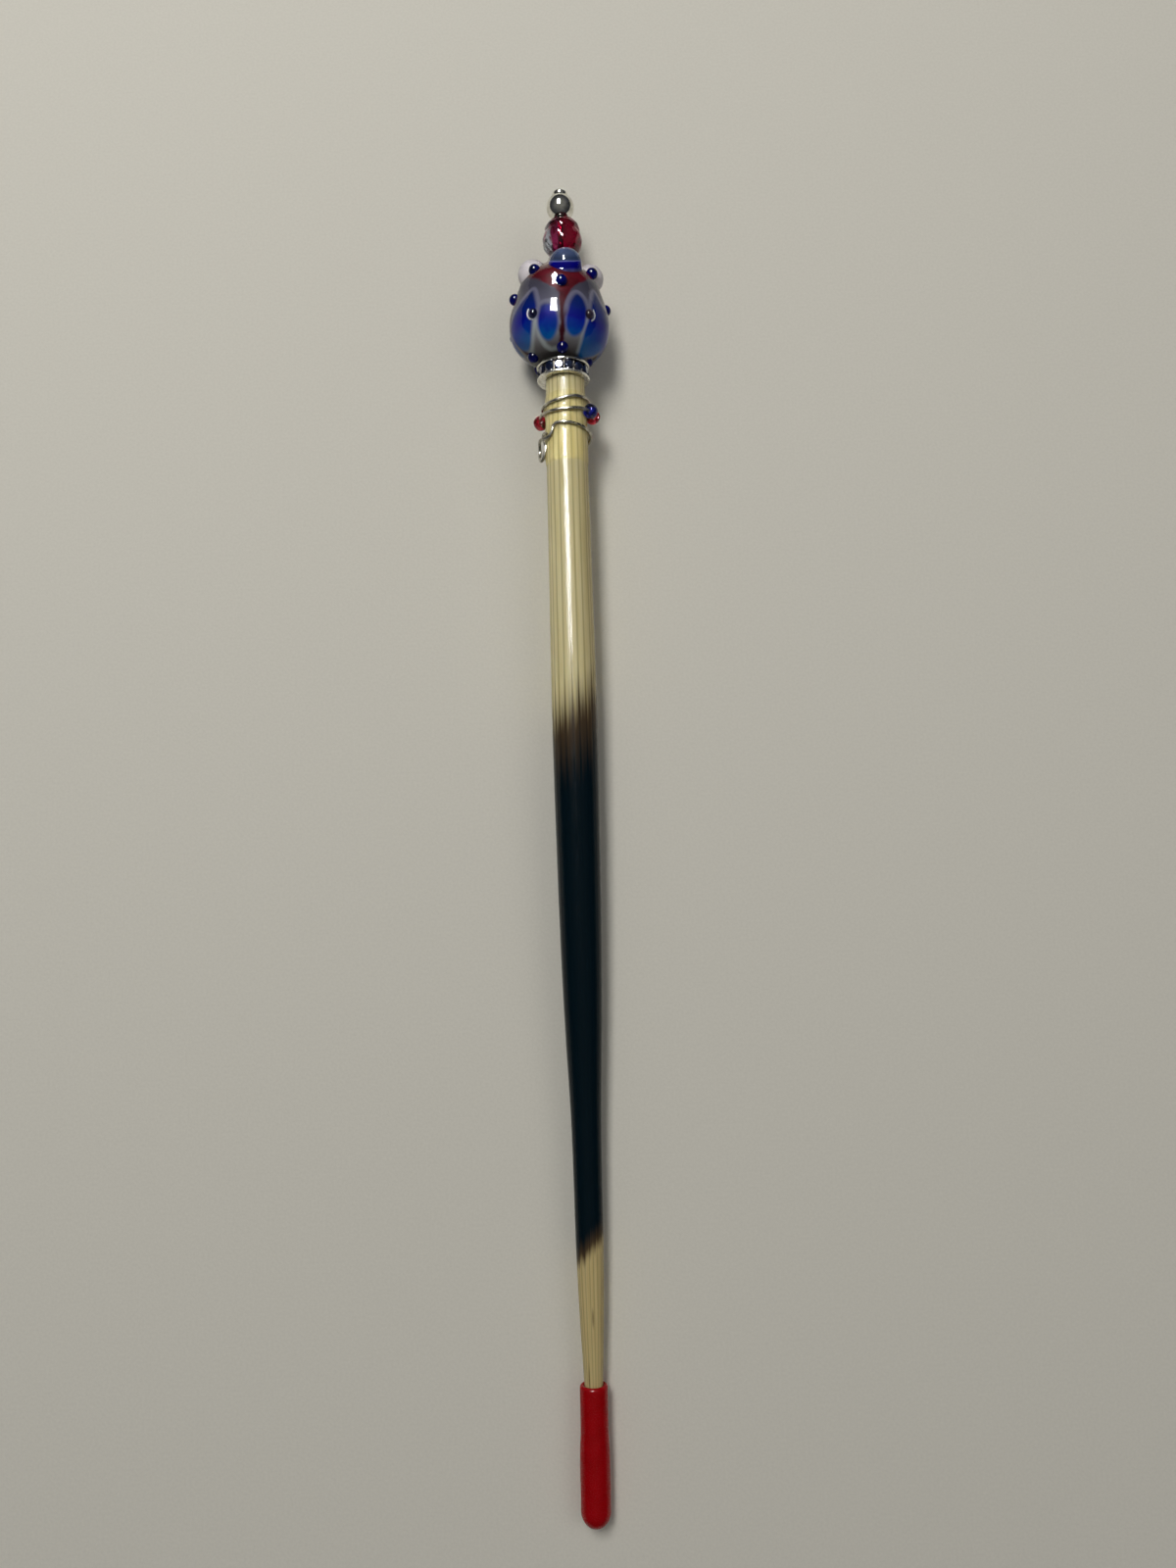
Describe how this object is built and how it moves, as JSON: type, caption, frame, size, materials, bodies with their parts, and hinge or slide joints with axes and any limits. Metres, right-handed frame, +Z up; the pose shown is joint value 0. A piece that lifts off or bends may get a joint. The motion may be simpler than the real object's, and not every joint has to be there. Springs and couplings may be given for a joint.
{
  "type": "porcupine quill hair stick",
  "caption": "Porcupine quill made into a hair stick: dark-banded ivory quill with a red vinyl cap on its point and a wire wrap, a stone rondelle and glass beads at its other end.",
  "frame": {"origin": "middle of the object's box, on the ground it lies on", "axes": "+Y along the stick from its capped point to its beads, +Z up from the ground, +X across the stick"},
  "size_m": [0.0156, 0.194, 0.0153],
  "materials": {
    "quill": "glossy natural keratin, ivory with a long blue-black band",
    "cap_vinyl": "dip-moulded soft red vinyl, glossy",
    "silver": "bright silver plate, polished",
    "sapphire_stone": "dark sapphire cut glass",
    "lampwork_glass": "flame-worked glass, blue petals and red stripes under clear glass",
    "ruby_glass": "cut glass, ruby with a clear side",
    "red_seed_glass": "drawn red glass",
    "blue_seed_glass": "drawn cobalt glass"
  },
  "bodies": {
    "root": {"quill": "quill", "tip_cap": "cap_vinyl", "rondelle_lower_plate": "silver", "rondelle_upper_plate": "silver", "rondelle_core": "silver", "rhinestone_01": "sapphire_stone", "rhinestone_02": "sapphire_stone", "rhinestone_03": "sapphire_stone", "rhinestone_04": "sapphire_stone", "rhinestone_05": "sapphire_stone", "rhinestone_06": "sapphire_stone", "rhinestone_07": "sapphire_stone", "rhinestone_08": "sapphire_stone", "rhinestone_09": "sapphire_stone", "rhinestone_10": "sapphire_stone", "rhinestone_11": "sapphire_stone", "rhinestone_12": "sapphire_stone", "rhinestone_13": "sapphire_stone", "rhinestone_14": "sapphire_stone", "lampwork_bead": "lampwork_glass", "faceted_bead": "ruby_glass", "silver_bead": "silver", "head_pin": "silver", "wrap_wire": "silver", "seed_bead_red_left": "red_seed_glass", "seed_bead_blue": "blue_seed_glass", "seed_bead_red_right": "red_seed_glass"}
  },
  "joints": []
}
